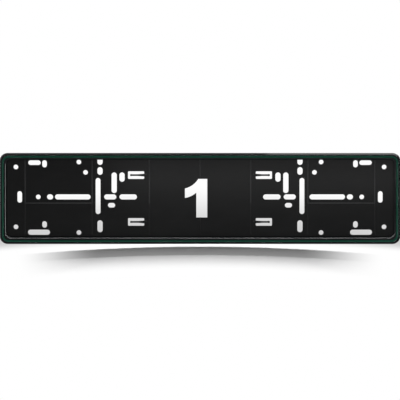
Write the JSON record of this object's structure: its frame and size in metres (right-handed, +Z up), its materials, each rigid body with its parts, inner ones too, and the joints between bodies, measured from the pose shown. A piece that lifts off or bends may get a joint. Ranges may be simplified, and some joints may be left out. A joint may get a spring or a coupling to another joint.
{
  "type": "number plate holder",
  "caption": "Flat black holder for a vehicle number plate: slotted base plate with spring tongues, clipped surround with a lip, and an inlaid dark green trim ring.",
  "frame": {"origin": "centre of the four corner fixing holes, on the mounting plane behind the holder", "axes": "+X along the width, +Y backwards through the mounting plane, +Z up; the front faces -Y"},
  "size_m": [0.53, 0.0132, 0.1204],
  "materials": {
    "base_black": "satin moulded black with a fine grain",
    "surround_black": "semi-gloss moulded black",
    "trim_green": "satin dark green"
  },
  "bodies": {
    "root": {"base_plate": "base_black", "surround": "surround_black", "trim_ring": "trim_green"}
  },
  "joints": []
}
